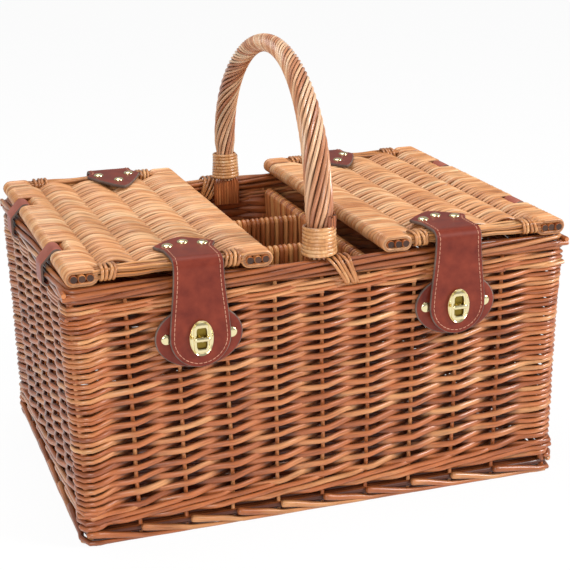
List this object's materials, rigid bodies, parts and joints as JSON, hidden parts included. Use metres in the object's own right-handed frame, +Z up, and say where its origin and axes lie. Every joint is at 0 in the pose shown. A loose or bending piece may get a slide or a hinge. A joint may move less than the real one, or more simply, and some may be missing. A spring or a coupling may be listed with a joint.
{
  "type": "picnic basket",
  "caption": "Rectangular wicker basket with a twisted bow handle, end-hinged woven lids, inner dividers, leather loops and leather straps closed by brass turn locks.",
  "frame": {"origin": "on the floor under the middle of the basket", "axes": "+X along the front to the right, +Y from front to rear, +Z up"},
  "size_m": [0.4868, 0.3776, 0.4209],
  "materials": {
    "stained_willow": "varnished",
    "inner_willow": "varnished",
    "lid_willow": "varnished",
    "pale_cane": "varnished",
    "leather": "semi-gloss",
    "brass": "polished"
  },
  "bodies": {
    "basket": {"wall_front": "stained_willow", "wall_rear": "stained_willow", "wall_left": "stained_willow", "wall_right": "stained_willow", "rim_border": "stained_willow", "foot_border": "stained_willow", "base_panel": "inner_willow", "divider_left": "inner_willow", "divider_right": "inner_willow", "cross_panel_front": "inner_willow", "cross_panel_rear": "inner_willow", "handle": "lid_willow", "handle_collar_front": "pale_cane", "handle_collar_rear": "pale_cane", "rim_lashing_front": "pale_cane", "rim_lashing_rear": "pale_cane", "hinge_loop_left_front": "leather", "hinge_loop_left_rear": "leather", "hinge_loop_right_front": "leather", "hinge_loop_right_rear": "leather", "wall_tab_left_front": "leather", "wall_tab_left_rear": "leather", "wall_tab_right_front": "leather", "wall_tab_right_rear": "leather"},
    "lid_left": {"lid_left_panel": "lid_willow", "lid_left_outer_sticks": "lid_willow", "lid_left_inner_sticks": "lid_willow", "lid_left_front_rods": "lid_willow", "lid_left_rear_rods": "lid_willow", "lid_left_binding_front_outer": "pale_cane", "lid_left_binding_front_inner": "pale_cane", "lid_left_binding_rear_outer": "pale_cane", "lid_left_binding_rear_inner": "pale_cane", "strap_top_left_front": "leather", "strap_top_left_rear": "leather"},
    "lid_right": {"lid_right_panel": "lid_willow", "lid_right_outer_sticks": "lid_willow", "lid_right_inner_sticks": "lid_willow", "lid_right_front_rods": "lid_willow", "lid_right_rear_rods": "lid_willow", "lid_right_binding_front_outer": "pale_cane", "lid_right_binding_front_inner": "pale_cane", "lid_right_binding_rear_outer": "pale_cane", "lid_right_binding_rear_inner": "pale_cane", "strap_top_right_front": "leather", "strap_top_right_rear": "leather"},
    "strap_left_front": {"strap_flap_left_front": "leather", "lock_plate_left_front": "brass"},
    "button_left_front": {"turn_button_left_front": "brass"},
    "strap_left_rear": {"strap_flap_left_rear": "leather", "lock_plate_left_rear": "brass"},
    "button_left_rear": {"turn_button_left_rear": "brass"},
    "strap_right_front": {"strap_flap_right_front": "leather", "lock_plate_right_front": "brass"},
    "button_right_front": {"turn_button_right_front": "brass"},
    "strap_right_rear": {"strap_flap_right_rear": "leather", "lock_plate_right_rear": "brass"},
    "button_right_rear": {"turn_button_right_rear": "brass"}
  },
  "joints": [
    {"name": "lid_left_hinge", "type": "hinge", "parent": "basket", "child": "lid_left", "pos_m": [-0.2279, 0, 0.2487], "axis": [0, -1, 0], "range_deg": [0, 110]},
    {"name": "lid_right_hinge", "type": "hinge", "parent": "basket", "child": "lid_right", "pos_m": [0.2279, 0, 0.2487], "axis": [0, 1, 0], "range_deg": [0, 110]},
    {"name": "strap_left_front_lift", "type": "hinge", "parent": "lid_left", "child": "strap_left_front", "pos_m": [-0.122, -0.182, 0.24745], "axis": [-1, 0, 0], "range_deg": [0, 150]},
    {"name": "button_left_front_turn", "type": "hinge", "parent": "strap_left_front", "child": "button_left_front", "pos_m": [-0.122, -0.185, 0.187], "axis": [0, -1, 0], "range_deg": [0, 90]},
    {"name": "strap_left_rear_lift", "type": "hinge", "parent": "lid_left", "child": "strap_left_rear", "pos_m": [-0.122, 0.182, 0.24745], "axis": [1, 0, 0], "range_deg": [0, 150]},
    {"name": "button_left_rear_turn", "type": "hinge", "parent": "strap_left_rear", "child": "button_left_rear", "pos_m": [-0.122, 0.185, 0.187], "axis": [0, 1, 0], "range_deg": [0, 90]},
    {"name": "strap_right_front_lift", "type": "hinge", "parent": "lid_right", "child": "strap_right_front", "pos_m": [0.122, -0.182, 0.24745], "axis": [-1, 0, 0], "range_deg": [0, 150]},
    {"name": "button_right_front_turn", "type": "hinge", "parent": "strap_right_front", "child": "button_right_front", "pos_m": [0.122, -0.185, 0.187], "axis": [0, -1, 0], "range_deg": [0, 90]},
    {"name": "strap_right_rear_lift", "type": "hinge", "parent": "lid_right", "child": "strap_right_rear", "pos_m": [0.122, 0.182, 0.24745], "axis": [1, 0, 0], "range_deg": [0, 150]},
    {"name": "button_right_rear_turn", "type": "hinge", "parent": "strap_right_rear", "child": "button_right_rear", "pos_m": [0.122, 0.185, 0.187], "axis": [0, 1, 0], "range_deg": [0, 90]}
  ]
}
